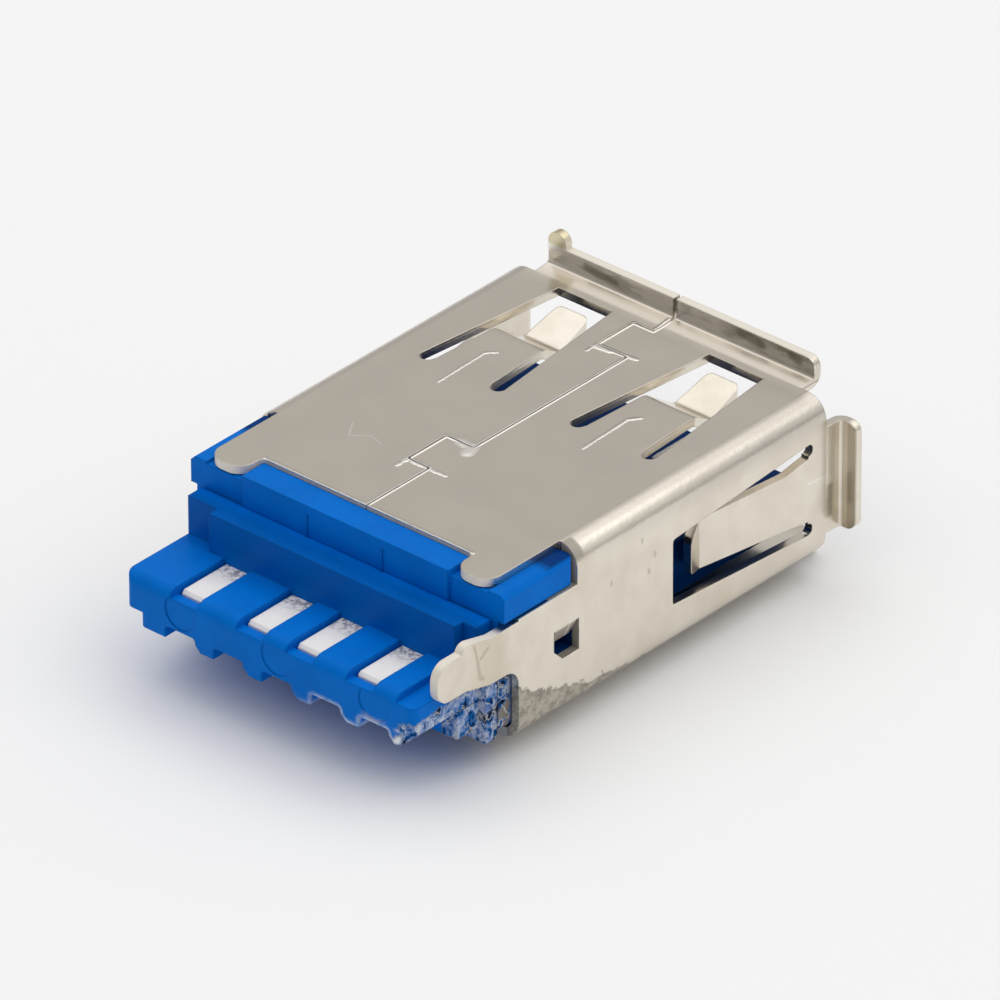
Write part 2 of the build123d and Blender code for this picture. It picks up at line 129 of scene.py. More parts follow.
# Places of the finishes, in millimetres from the drawing's origin. Of two values, a mask starts at
# the first and is full at the second. Of four, it is full between the middle two.
SHELL_TOP = 5.72
SHELL_HALF = 6.55
FOLD = 0.75
ON_TOP_Z = (SHELL_TOP - 0.12, SHELL_TOP - 0.06)
BEYOND_TOP_Z = (SHELL_TOP + 0.08, SHELL_TOP + 0.16)
BEYOND_SIDE_X = (-SHELL_HALF - 0.08, -SHELL_HALF - 0.14)
NEAR_SIDE_X = (-5.85, -5.95)
NEAR_WALL_X = (-SHELL_HALF + 0.50, -SHELL_HALF + 0.30)
BARB_X = (-SHELL_HALF + 0.03, -SHELL_HALF + 0.08)
BARB_Y = (12.1, 12.2, 13.8, 13.9)
EAR_Y = (16.0, 16.3)
EAR_ROOT_Y = (15.6, 16.2, 16.8, 17.4)
PLATE_REAR_Y = (14.78, 14.84)
PLATE_EDGE_Z = (5.15, 5.25)
PLATE_LOBES_X = (5.75, 5.65)
PLATE_LIFT_Y = (1.25, 0.10)
FOLD_X = (SHELL_HALF - FOLD - 0.10, SHELL_HALF - FOLD + 0.35)
FOLD_Z = (SHELL_TOP - FOLD - 0.35, SHELL_TOP - FOLD + 0.20)
FOLD_SHADE_Y = (15.0, 3.0)
FLANGE_REAR_Y = (0.02, 0.06)
FLANGE_EDGE_Y = (0.5, 0.4)
FLANGE_EDGE_Z = (6.39, 6.43)
FLANGE_STUB_X = (4.9, 4.7)
STUB_Y = (0.3, 0.2)
STUB_Z = (SHELL_TOP + 0.70, SHELL_TOP + 0.80)
SCUFF_REFLECTION_Y = (4.0, 5.5, 15.5, 15.7)
SCUFF_REFLECTION_RISE_Y = (6.0, 15.3)
INSIDE_X = (6.40, 6.30)
INSIDE_Y = (13.9, 13.5)
INSIDE_Z = (SHELL_TOP - 0.15, SHELL_TOP - 0.20)
BAR_Y = (16.10, 16.45, 16.98, 17.05)
BAR_Z = (2.9, 3.6)
RIM_X = (-0.8, -2.0)
RIM_Y = (18.5, 18.9)
OUTLINE_Z = (2.1, 1.9)
BLOCK_SIDE_X = (-5.30, -5.38)
BLOCK_SIDE_Y = (15.2, 15.4)
BARE_Y = (16.3, 15.7)
BARE_Z = (2.0, 1.5)
TAIL_GREY_Y = (16.6, 16.9, 17.10, 17.75)

# How much of its colour each mark lays on, from 0 to 1.
STRENGTH = {
    "hair": 0.40, "ear_root_shade": 0.75, "side_crease": 0.34, "pit": 0.34, "hollow": 0.60, "spot": 0.50,
    "split": 0.80, "stub": 0.85, "barb": 0.90, "glint": 0.60, "ridge": 0.75, "scuff_and_reflection": 0.85,
    "fold": 0.80, "bar": 0.42, "hole": 0.90, "strand": 0.60,
}
# Heights of the plating's relief, in millimetres.
HEIGHT = {
    "grain": 0.0005, "lift": 0.12, "peel": 0.010, "lumps": 0.12, "crease": 0.021, "blotch": 0.007,
}

# Unevenness of the drawn lines: cells per millimetre, and how far they stray in millimetres.
WOBBLE_SCALE = 7.0
WOBBLE_REACH = 0.08
# Blotch values that turn warm, and the roughness from the lowest blotch to the highest.
WARM_BLOTCHES = (0.42, 0.62)
PLATING_ROUGHNESS = (0.20, 0.26)
TORN_ROUGHNESS = 0.30
TORN_METALLIC = 0.25
PEEL_STRETCH = (1.0, 0.7, 1.0)

# Tarnish on the flanges' rear faces, as (from, to, least, most): by noise on the top flange, added
# along its length, and from the bend of the side flange to its flat.
STAIN_STRETCH = (0.45, 1.0, 1.6)
STAIN_TONES = (0.44, 0.64, 0.0, 0.70)
STAIN_SHIFT = (-1.0, -3.0, -0.32, 0.12)
SIDE_STAIN = (-SHELL_HALF - 0.30, -SHELL_HALF - 0.36, 0.20, 0.52)

# The band along the bottom of the near wall, partly scuffs and partly a painted reflection and soft
# shadow of the floor: height at its front, the rise to its rear and how late it rises, then how ragged
# its border gets to the rear, the border's softness, its dark ridge and its tones.
SCUFF_REFLECTION_FRONT = 0.20
SCUFF_REFLECTION_RISE = 1.75
SCUFF_REFLECTION_POWER = 2.6
RAGGED_SIZE = (0.2, 0.9, 0.6, 1.3)
SCUFF_REFLECTION_BORDER = (-0.02, 0.05)
SCUFF_REFLECTION_RIDGE = (0.13, 0.05)
SCUFF_REFLECTION_TONES = (0.38, 0.55)

# Faces that don't look up, and faces that don't look out of the near side, by their normal.
NOT_UP = (0.85, 0.60)
NOT_OUT = (-0.85, -0.60)

# Rounding of sharp edges, in millimetres.
SHEET_EDGE = 0.05
MOULD_EDGE = 0.10
WORN_EDGE = 0.24
BEVEL_SAMPLES = 4

# The pale rim of the solder block, partly rubbed and partly a painted reflection of the floor: its
# height along x as (from, to, low, high) with the rise at its near corner, how ragged it is, and its
# border's softness.
RIM_HEIGHT = (-1.6, -4.8, 1.36, 1.46)
RIM_CORNER = (-5.0, -5.6, 0.0, 0.55)
RIM_RAGGED = 0.6
RIM_BORDER = (-0.05, 0.10)
# The mottled side of the solder block, partly rubbed and partly a painted reflection and soft shadow:
# its height along y, how ragged it is, its border's softness.
BLOCK_SIDE_HEIGHT = (15.6, 19.2, 2.75, 2.25)
BLOCK_SIDE_RAGGED = 0.7
BLOCK_SIDE_BORDER = (-0.03, 0.06)
# Noise values: of bare torn metal, and of pale strands by their distance from the middle value.
BARE_TONES = (0.44, 0.52)
STRAND_TONES = (0.008, 0.035)
# How far the outlines of the painted hole shade stray, in millimetres.
HOLE_STRAY = 0.5

# Roughness from a noise's low values to its high ones, what wear adds to it, and the noise values
# of the tin's colours. Relief is (height in millimetres, strength).
BLUE_ROUGHNESS = (0.36, 0.44)
BLUE_SPECULAR = 0.04
BLUE_RELIEF = (0.0025, 0.5)
WORN_ROUGHNESS = 0.25
WORN_RELIEF = (0.18, 0.9)
TIN_ROUGHNESS = (0.38, 0.50)
TIN_RELIEF = (0.02, 0.6)
TIN_CLOUDS = (0.35, 0.65)
TIN_SHADE_MOTTLE = (0.46, 0.56)

# The range that a noise mostly fills.
NOISE_RANGE = (0.3, 0.7)
# Part of a drawn line's width that is at full strength.
LINE_CORE = 0.35
# Cosine between the rounded and the true normal: off an edge, and on it.
EDGE_TURN = (0.995, 0.90)

# The seam on the top plate: middle line of its gap, as points (x, y), and the width of its painted highlight.
SEAM = (
    (0.225, 0.38), (0.225, 1.15), (1.05, 1.15), (1.05, 2.87), (-0.18, 2.87),
    (-0.18, 10.15), (0.93, 10.15), (0.93, 11.92), (0.05, 11.92), (0.05, 14.87),
)
SEAM_WIDTH = 0.10
# Overruns of the seam's corners, then the hooked creases on both fingers, all painted as highlights: (start,
# end, width).
TOP_CREASES = (
    ((0.93, 12.46), (0.93, 11.90), 0.09),
    ((0.93, 12.08), (0.93, 11.92), 0.14),
    ((0.72, 12.00), (-0.62, 11.97), 0.10),
    ((1.05, 3.40), (1.05, 2.70), 0.07),
    ((1.04, 3.02), (0.45, 2.95), 0.15),
    ((0.60, 2.93), (-0.50, 2.80), 0.10),
    ((-0.20, 10.46), (-0.10, 10.14), 0.30),
    ((0.34, 10.12), (-0.16, 10.22), 0.24),
    ((0.24, 1.12), (0.30, 0.30), 0.11),
    ((3.29, 7.85), (3.35, 5.60), 0.065),
    ((3.35, 5.60), (3.08, 5.32), 0.085),
    ((-2.76, 7.95), (-2.68, 5.72), 0.075),
    ((-2.68, 5.72), (-2.92, 5.40), 0.10),
    ((-4.30, 14.84), (4.30, 14.84), 0.07),
)
HAIR_SCRATCH = (
    ((3.66, 11.45), (3.24, 12.10), 0.05),
    ((3.24, 12.10), (2.66, 11.67), 0.04),
    ((2.66, 11.67), (2.11, 11.85), 0.04),
)
# Small pits on the side wall, as (y, z), with the half length and the width of each.
SIDE_PITS = ((9.52, 4.61), (10.97, 3.73), (9.19, 3.37), (8.90, 3.86))
PIT_REACH = 0.05
PIT_WIDTH = 0.09
# Creases across the ear, painted as lines of shade, as points (y, z).
SIDE_CREASES = (
    ((17.14, 4.27), (17.02, 3.70), 0.06),
    ((17.02, 3.70), (16.95, 3.15), 0.08),
    ((16.69, 4.07), (16.92, 3.75), 0.06),
    ((16.95, 3.12), (16.88, 3.02), 0.11),
)
# Painted shade of a sunk mark at the root of the side flange, as points (y, z).
SIDE_HOLLOWS = (
    ((0.57, 2.45), (0.61, 1.50), 0.20),
)
# The flange's split, painted dark as the shade in its gap, then dark places on its rear face, as points (x,
# z).
FLANGE_SPLIT = ((0.225, 5.75), (0.225, 6.95), 0.13)
FLANGE_STAINS = (
    ((3.90, 6.18), (2.70, 6.05), 0.20),
    ((-2.50, 6.31), (-3.30, 6.16), 0.28),
    ((-4.55, 6.22), (-4.85, 6.13), 0.20),
)
# Painted highlights on the side, as points (y, z): on the barb's lit fold, and along a crease beside the
# flange.
SIDE_GLINTS = (
    ((12.88, 3.25), (12.78, 2.55), 0.07),
    ((1.60, 3.02), (0.62, 2.92), 0.06),
)
# Painted shade of holes in the rubbed side under the ear, as points (y, z).
BLOCK_HOLES = (
    ((16.40, 1.28), (15.95, 1.42), 0.24),
    ((15.95, 2.62), (15.42, 2.42), 0.26),
)


def new_material(name):
    """A material whose tree holds only its output and one shader."""
    material = bpy.data.materials.new(name)
    material.use_nodes = True
    tree = material.node_tree
    tree.nodes.clear()
    output = tree.nodes.new("ShaderNodeOutputMaterial")
    shader = tree.nodes.new("ShaderNodeBsdfPrincipled")
    tree.links.new(shader.outputs["BSDF"], output.inputs["Surface"])
    return material, tree, shader


def node(tree, kind, settings=None, **inputs):
    """A node with its settings and inputs. An input goes by its name, or by its number as in _0."""
    made = tree.nodes.new(kind)
    for key, value in (settings or {}).items():
        setattr(made, key, value)
    for key, value in inputs.items():
        socket = made.inputs[int(key[1:])] if key[0] == "_" else made.inputs[key]
        if isinstance(value, bpy.types.NodeSocket):
            tree.links.new(value, socket)
        else:
            socket.default_value = value
    return made


def calc(tree, operation, first, second=0.0):
    """Result of one arithmetic node."""
    return node(tree, "ShaderNodeMath", {"operation": operation}, _0=first, _1=second).outputs[0]


def vector_calc(tree, operation, first, second):
    """Result of one vector node."""
    made = node(tree, "ShaderNodeVectorMath", {"operation": operation}, _0=first, _1=second)
    return made.outputs["Value" if operation in ("DOT_PRODUCT", "DISTANCE") else "Vector"]


def scaled(tree, vector, factor):
    """A vector times a number."""
    made = node(tree, "ShaderNodeVectorMath", {"operation": "SCALE"}, _0=vector, Scale=factor)
    return made.outputs["Vector"]


def drawing_place(tree):
    """Surface point in millimetres from the drawing's origin."""
    source = node(tree, "ShaderNodeTexCoord")
    place = scaled(tree, source.outputs["Object"], 1 / MM)
    return vector_calc(tree, "SUBTRACT", place, tuple(DRAWING_ORIGIN))


def axes(tree, place):
    """X, Y and Z of a point."""
    split = node(tree, "ShaderNodeSeparateXYZ", _0=place)
    return split.outputs["X"], split.outputs["Y"], split.outputs["Z"]


def noise(tree, place, scale, detail, roughness, distortion=0.0):
    """Fractal noise from 0 to 1."""
    made = node(tree, "ShaderNodeTexNoise", Vector=place, Scale=scale, Detail=detail, Roughness=roughness,
                Distortion=distortion)
    return made.outputs["Fac"]


def centred(tree, value):
    """A noise value moved to lie around 0."""
    return calc(tree, "SUBTRACT", value, 0.5)


def spread(tree, value, low, high, to_low=0.0, to_high=1.0):
    """Maps a range of a value to another, clamped."""
    made = node(tree, "ShaderNodeMapRange", _0=value, _1=low, _2=high, _3=to_low, _4=to_high)
    return made.outputs["Result"]


def mix(tree, factor, first, second):
    """Mixes two colours, which are inputs 6 and 7 of the node."""
    return node(tree, "ShaderNodeMix", {"data_type": "RGBA"}, _0=factor, _6=first, _7=second).outputs[2]


def bump(tree, height, distance, strength, normal):
    """Bump on a normal, from a height times a distance in millimetres."""
    made = node(tree, "ShaderNodeBump", Height=height, Distance=distance * MM, Strength=strength,
                Normal=normal)
    return made.outputs["Normal"]


def line_mask(tree, place, start, end, width):
    """1 on a straight line between two points, falling to 0 over its width."""
    start = Vector(start)
    run = Vector(end) - start
    offset = vector_calc(tree, "SUBTRACT", place, tuple(start))
    along = vector_calc(tree, "DOT_PRODUCT", offset, tuple(run / run.length_squared))
    along = spread(tree, along, 0.0, 1.0)
    nearest = scaled(tree, node(tree, "ShaderNodeCombineXYZ", _0=run.x, _1=run.y, _2=run.z).outputs[0], along)
    distance = vector_calc(tree, "DISTANCE", offset, nearest)
    return spread(tree, distance, LINE_CORE * width, width, 1.0, 0.0)


def line_masks(tree, place, lines, locate):
    """Masks of several lines of (start, end, width), with each point placed on a face."""
    return [line_mask(tree, place, locate(start), locate(end), width) for start, end, width in lines]


def strongest(tree, masks):
    """The largest of several masks."""
    result = masks[0]
    for mask in masks[1:]:
        result = calc(tree, "MAXIMUM", result, mask)
    return result


def product(tree, *masks):
    """All masks multiplied."""
    result = masks[0]
    for mask in masks[1:]:
        result = calc(tree, "MULTIPLY", result, mask)
    return result


def total(tree, values):
    """Sum of several values."""
    result = values[0]
    for value in values[1:]:
        result = calc(tree, "ADD", result, value)
    return result


def band(tree, value, limits):
    """1 between the middle two of four limits, falling to 0 at the outer two."""
    start, full, last_full, end = limits
    return product(tree, spread(tree, value, start, full), spread(tree, value, end, last_full))


def colour_steps(tree, value, steps):
    """Colour ramp with the steps given as (value, colour)."""
    made = tree.nodes.new("ShaderNodeValToRGB")
    ramp = made.color_ramp
    while len(ramp.elements) < len(steps):
        ramp.elements.new(0.5)
    for element, (position, colour) in zip(ramp.elements, steps):
        element.position = position
        element.color = colour
    tree.links.new(value, made.inputs["Fac"])
    return made.outputs["Color"]


def on_top_plate(point):
    """A point (x, y) on the top plate."""
    return (*point, SHELL_TOP)


def on_side(point):
    """A point (y, z) of a side, for places flattened onto x = 0."""
    return (0.0, *point)


def on_flange(point):
    """A point (x, z) of the top flange, for places flattened onto y = 0."""
    return (point[0], 0.0, point[1])


def flattened(tree, place, keep):
    """A place with one axis left out; keep holds 0 for that axis and 1 for the others."""
    return vector_calc(tree, "MULTIPLY", place, keep)


def rounded_normal(tree, radius):
    """Normal with sharp edges rounded to a radius in millimetres."""
    return node(tree, "ShaderNodeBevel", {"samples": BEVEL_SAMPLES}, Radius=radius * MM).outputs["Normal"]


def edge_mask(tree, radius):
    """1 on the edges of a piece, falling to 0 within a radius in millimetres."""
    rounded = rounded_normal(tree, radius)
    facing = node(tree, "ShaderNodeNewGeometry").outputs["Normal"]
    return spread(tree, vector_calc(tree, "DOT_PRODUCT", rounded, facing), *EDGE_TURN)


class ShellPoint:
    """The shaded point of the shell: its place, an uneven copy of it for marks, and where it lies."""

    def __init__(self, tree):
        self.tree = tree
        self.place = drawing_place(tree)
        self.x, self.y, self.z = axes(tree, self.place)
        self.facing = axes(tree, node(tree, "ShaderNodeNewGeometry").outputs["Normal"])
        wobble = node(tree, "ShaderNodeTexNoise", Vector=self.place, Scale=WOBBLE_SCALE, Detail=1.0)
        wobble = vector_calc(tree, "SUBTRACT", wobble.outputs["Color"], (0.5, 0.5, 0.5))
        self.loose = vector_calc(tree, "ADD", self.place, scaled(tree, wobble, WOBBLE_REACH))
        self.on_top = spread(tree, self.z, *ON_TOP_Z)
        self.off_top = calc(tree, "SUBTRACT", 1.0, self.on_top)
        self.near_side = spread(tree, self.x, *NEAR_SIDE_X)
        self.side_place = flattened(tree, self.loose, (0, 1, 1))

    def top_lines(self, place, lines):
        """Mask of lines on the top plate."""
        masks = line_masks(self.tree, place, lines, on_top_plate)
        return product(self.tree, strongest(self.tree, masks), self.on_top)

    def side_lines(self, lines):
        """Mask of uneven lines on the near side."""
        masks = line_masks(self.tree, self.side_place, lines, on_side)
        return product(self.tree, strongest(self.tree, masks), self.near_side)


def plain_plating(tree, point, blotch):
    """Colour of the plating, painted lighter off the top plate as painted light on the walls, and softly
    blotched there.
    """
    colour = mix(tree, point.off_top, NICKEL, NICKEL_LIT_SIDE)
    warm = product(tree, spread(tree, blotch, *WARM_BLOTCHES), point.off_top)
    return mix(tree, warm, colour, NICKEL_WARM)


def crease_highlights(tree, point, colour):
    """Painted highlights on the pressed creases and the seam's edges, and a pale hair scratch: the colour,
    and their mask.
    """
    seam_runs = [(start, end, SEAM_WIDTH) for start, end in zip(SEAM, SEAM[1:])]
    seam = point.top_lines(point.place, seam_runs)
    crease = point.top_lines(point.loose, TOP_CREASES)
    hair = product(tree, point.top_lines(point.loose, HAIR_SCRATCH), STRENGTH["hair"])
    pressed = strongest(tree, [crease, seam])
    # Painted highlights on the creases and seam edges, and the pale hair scratch.
    colour = mix(tree, strongest(tree, [pressed, hair]), colour, NICKEL_HIGHLIGHT_AND_SCRATCH)
    return colour, pressed


def side_marks(tree, point, colour):
    """Painted shade at the ear's root and along its creases, small dark pits, and painted shade in the hollow
    beside the side flange.
    """
    ear_root_shade = product(tree, point.near_side, band(tree, point.y, EAR_ROOT_Y), STRENGTH["ear_root_shade"])
    # Painted shade at the ear's root.
    colour = mix(tree, ear_root_shade, colour, EAR_ROOT_SHADE)
    pit_lines = [((y, z - PIT_REACH), (y, z + PIT_REACH), PIT_WIDTH) for y, z in SIDE_PITS]
    for name, lines in (("side_crease", SIDE_CREASES), ("pit", pit_lines), ("hollow", SIDE_HOLLOWS)):
        # Painted shade in the ear's creases and the side hollow, and the dark pits.
        colour = mix(tree, product(tree, point.side_lines(lines), STRENGTH[name]), colour, TARNISH_AND_SHADE)
    return colour


def flange_tarnish_and_shading(tree, point, colour):
    """Tarnished rear faces of the mouth flanges over a base painted lighter, with a painted shadow in the
    split, dark stains, and the stained stub of the stamping strip.
    """
    beyond_top = spread(tree, point.z, *BEYOND_TOP_Z)
    beyond_side = spread(tree, point.x, *BEYOND_SIDE_X)
    back = product(tree, strongest(tree, [beyond_top, beyond_side]), spread(tree, point.y, *FLANGE_REAR_Y))
    drawn = vector_calc(tree, "MULTIPLY", point.place, STAIN_STRETCH)
    stain = spread(tree, noise(tree, drawn, *STAIN_NOISE), *STAIN_TONES)
    stain = calc(tree, "ADD", stain, spread(tree, point.x, *STAIN_SHIFT))
    side_stain = product(tree, spread(tree, point.x, *SIDE_STAIN), beyond_side)
    stain = strongest(tree, [product(tree, stain, beyond_top), side_stain])
    # The top flange's rear face is painted lighter, as painted light, under its tarnish.
    colour = mix(tree, product(tree, back, beyond_top), colour, NICKEL_HIGHLIGHT_AND_SCRATCH)
    colour = mix(tree, product(tree, back, spread(tree, stain, 0.0, 1.0)), colour, TARNISH_AND_SHADE)

    flange_place = flattened(tree, point.loose, (1, 0, 1))
    spots = strongest(tree, line_masks(tree, flange_place, FLANGE_STAINS, on_flange))
    spots = product(tree, spots, back, beyond_top, STRENGTH["spot"])
    # The split is painted dark, standing in for the shade inside its gap.
    split = line_masks(tree, flange_place, [FLANGE_SPLIT], on_flange)[0]
    split = product(tree, split, beyond_top, STRENGTH["split"])
    colour = mix(tree, strongest(tree, [spots, split]), colour, STAIN_AND_SPLIT_SHADE)
    stub = product(tree, spread(tree, point.z, *STUB_Z), spread(tree, point.y, *STUB_Y))
    return mix(tree, product(tree, stub, STRENGTH["stub"]), colour, STUB_STAIN)


def sheared_rim_highlights(tree, point):
    """Mask of sheared rims that scatter the light, painted as pale highlights: the plate's rear edge and
    lobes, the ear's and flange's.
    """
    not_up = spread(tree, point.facing[2], *NOT_UP)
    rear_rim = product(tree, spread(tree, point.y, *PLATE_REAR_Y), spread(tree, point.z, *PLATE_EDGE_Z),
                       not_up, spread(tree, calc(tree, "ABSOLUTE", point.x), *PLATE_LOBES_X))
    not_out = spread(tree, point.facing[0], *NOT_OUT)
    ear_rim = product(tree, spread(tree, point.y, *EAR_Y), point.near_side, not_out)
    flange_rim = product(tree, spread(tree, point.z, *FLANGE_EDGE_Z), spread(tree, point.x, *FLANGE_STUB_X),
                         spread(tree, point.y, *FLANGE_EDGE_Y))
    return strongest(tree, [rear_rim, ear_rim, flange_rim])


def scuff_and_reflection_band(tree, point):
    """Band along the bottom of the near wall, widening to the rear, partly scuffs and partly a painted
    reflection and soft shadow of the floor: its mask, lumps and colour.
    """
    rearward = spread(tree, point.y, *SCUFF_REFLECTION_RISE_Y)
    edge_height = calc(tree, "MULTIPLY", calc(tree, "POWER", rearward, SCUFF_REFLECTION_POWER), SCUFF_REFLECTION_RISE)
    edge_height = calc(tree, "ADD", edge_height, SCUFF_REFLECTION_FRONT)
    ragged = centred(tree, noise(tree, point.place, *RAGGED_NOISE))
    ragged = calc(tree, "MULTIPLY", ragged, spread(tree, rearward, *RAGGED_SIZE))
    level = calc(tree, "SUBTRACT", calc(tree, "ADD", edge_height, ragged), point.z)
    scuff_and_reflection = product(tree, spread(tree, level, *SCUFF_REFLECTION_BORDER), band(tree, point.y, SCUFF_REFLECTION_Y),
                    spread(tree, point.x, *NEAR_WALL_X))
    ridge = product(tree, scuff_and_reflection, spread(tree, level, *SCUFF_REFLECTION_RIDGE), STRENGTH["ridge"])
    lumps = noise(tree, point.place, *LUMP_NOISE)
    colour = mix(tree, spread(tree, lumps, *SCUFF_REFLECTION_TONES), SCUFF_REFLECTION_DARK, SCUFF_REFLECTION_PALE)
    return scuff_and_reflection, lumps, mix(tree, ridge, colour, SCUFF_REFLECTION_DARK)


def upper_folds(tree, point):
    """Mask of the folds between the top plate and the side walls."""
    outward = spread(tree, calc(tree, "ABSOLUTE", point.x), *FOLD_X)
    return product(tree, outward, spread(tree, point.z, *FOLD_Z))


def shell_material():
    """Nickel plating on rolled sheet, with its creases, a lower edge partly scuffed and partly painted with
    the floor's reflection and shadow, tarnished flanges, and painted highlights and shade.
    """
    material, tree, shader = new_material("nickel_plating")
    point = ShellPoint(tree)
    blotch = noise(tree, point.place, *BLOTCH_NOISE)
    grain = noise(tree, point.place, *GRAIN_NOISE)
    colour = plain_plating(tree, point, blotch)
    colour, pressed = crease_highlights(tree, point, colour)
    colour = side_marks(tree, point, colour)
    colour = flange_tarnish_and_shading(tree, point, colour)
    sheared_highlight = sheared_rim_highlights(tree, point)
    # Painted highlights on the sheared rims.
    colour = mix(tree, sheared_highlight, colour, SHEARED_RIM_HIGHLIGHT)

    # The lanced barb in the near wall's window, rougher and less metallic, painted a dull grey as the lit and
    # shaded look of its bent tab.
    barb = product(tree, spread(tree, point.x, *BARB_X), point.near_side, band(tree, point.y, BARB_Y))
    glint = product(tree, point.side_lines(SIDE_GLINTS), STRENGTH["glint"])
    # Painted grey for the barb's lit and shaded tab.
    colour = mix(tree, product(tree, barb, STRENGTH["barb"]), colour, BARB_LIT_GREY)
    # Painted highlights on the barb's fold and on a crease by the flange.
    colour = mix(tree, glint, colour, NICKEL_HIGHLIGHT_AND_SCRATCH)

    scuff_and_reflection, lumps, scuff_and_reflection_colour = scuff_and_reflection_band(tree, point)
    # The lower band: partly scuffs, partly a painted reflection and soft shadow of the floor.
    colour = mix(tree, product(tree, scuff_and_reflection, STRENGTH["scuff_and_reflection"]), colour, scuff_and_reflection_colour)

    # Orange peel along the upper folds, with painted shade on them that deepens towards the mouth.
    folds = upper_folds(tree, point)
    peel = noise(tree, vector_calc(tree, "MULTIPLY", point.place, PEEL_STRETCH), *PEEL_NOISE)
    fold_shade = product(tree, folds, spread(tree, point.y, *FOLD_SHADE_Y), STRENGTH["fold"])
    # Painted shade toning down the folds' highlight towards the mouth.
    colour = mix(tree, fold_shade, colour, NICKEL_FOLD_SHADE)

    # The relief, with the plate's lift towards the mouth flange.
    toward_mouth = spread(tree, point.y, *PLATE_LIFT_Y)
    height = total(tree, (
        product(tree, grain, HEIGHT["grain"]),
        product(tree, toward_mouth, toward_mouth, point.on_top, HEIGHT["lift"]),
        product(tree, peel, folds, HEIGHT["peel"]),
        product(tree, lumps, scuff_and_reflection, HEIGHT["lumps"]),
        product(tree, pressed, HEIGHT["crease"]),
        product(tree, blotch, point.off_top, HEIGHT["blotch"]),
    ))
    normal = bump(tree, height, 1.0, 1.0, rounded_normal(tree, SHEET_EDGE))
    torn = strongest(tree, [scuff_and_reflection, barb, sheared_highlight])
    roughness = spread(tree, blotch, *NOISE_RANGE, *PLATING_ROUGHNESS)
    roughness = calc(tree, "ADD", roughness, product(tree, torn, TORN_ROUGHNESS))
    metallic = spread(tree, strongest(tree, [sheared_highlight, barb]), 0.0, 1.0, 1.0, TORN_METALLIC)
    tree.links.new(colour, shader.inputs["Base Color"])
    tree.links.new(roughness, shader.inputs["Roughness"])
    tree.links.new(normal, shader.inputs["Normal"])
    tree.links.new(metallic, shader.inputs["Metallic"])
    return material


def shaded_blue(tree, place):
    """Blue with soft clouds, with painted shade inside the shell and on the bar above the paddle."""
    x, y, z = axes(tree, place)
    cloud = noise(tree, place, *BLUE_CLOUD_NOISE)
    colour = mix(tree, spread(tree, cloud, *NOISE_RANGE), BLUE, BLUE_DEEP)
    inside = product(tree, spread(tree, y, *INSIDE_Y), spread(tree, z, *INSIDE_Z),
                     spread(tree, calc(tree, "ABSOLUTE", x), *INSIDE_X))
    bar = product(tree, band(tree, y, BAR_Y), spread(tree, z, *BAR_Z), STRENGTH["bar"])
    # Painted shade inside the shell and on the bar's face above the paddle.
    return mix(tree, strongest(tree, [inside, bar]), colour, BLUE_PAINTED_SHADE)


def rubbed_rim_and_reflection(tree, place):
    """Mask of the pale lower rim of the rear face, partly rubbed and partly a painted reflection of the
    floor, rising towards the near corner.
    """
    x, y, z = axes(tree, place)
    ragged = calc(tree, "MULTIPLY", centred(tree, noise(tree, place, *RIM_NOISE)), RIM_RAGGED)
    rim_height = calc(tree, "ADD", spread(tree, x, *RIM_HEIGHT), spread(tree, x, *RIM_CORNER))
    rim = calc(tree, "SUBTRACT", calc(tree, "ADD", rim_height, ragged), z)
    toward_corner = spread(tree, x, *RIM_X)
    outline = product(tree, edge_mask(tree, WORN_EDGE), spread(tree, z, *OUTLINE_Z), toward_corner)
    rim = strongest(tree, [spread(tree, rim, *RIM_BORDER), outline])
    return product(tree, rim, toward_corner, spread(tree, y, *RIM_Y))


def rubbed_side_and_reflection(tree, place):
    """Mask of the mottled side under the solder ear, partly rubbed and partly a painted reflection and soft
    shadow.
    """
    x, y, z = axes(tree, place)
    ragged = centred(tree, noise(tree, place, *BLOCK_SIDE_NOISE))
    ragged = calc(tree, "MULTIPLY", ragged, BLOCK_SIDE_RAGGED)
    level = calc(tree, "ADD", spread(tree, y, *BLOCK_SIDE_HEIGHT), ragged)
    return product(tree, spread(tree, calc(tree, "SUBTRACT", level, z), *BLOCK_SIDE_BORDER),
                   spread(tree, x, *BLOCK_SIDE_X), spread(tree, y, *BLOCK_SIDE_Y))


def torn_and_reflected_colour(tree, place, patch):
    """Mottled blue with pale streaks, painted shade in holes, and bare metal below at its front, partly a
    painted reflection and soft shadow.
    """
    _, y, z = axes(tree, place)
    strand = calc(tree, "ABSOLUTE", centred(tree, noise(tree, place, *STRAND_NOISE)))
    strand = spread(tree, strand, *STRAND_TONES, STRENGTH["strand"], 0.0)
    loose = vector_calc(tree, "ADD", place, scaled(tree, centred(tree, patch), HOLE_STRAY))
    hole = strongest(tree, line_masks(tree, flattened(tree, loose, (0, 1, 1)), BLOCK_HOLES, on_side))
    bare = product(tree, spread(tree, y, *BARE_Y), spread(tree, z, *BARE_Z), spread(tree, patch, *BARE_TONES))
    colour = mix(tree, bare, colour_steps(tree, patch, RUBBED_BLUE_AND_REFLECTION), SCUFF_REFLECTION_DARK)
    # Painted shade in the holes.
    colour = mix(tree, product(tree, hole, STRENGTH["hole"]), colour, HOLE_SHADE)
    return mix(tree, strand, colour, PALE_STREAK)


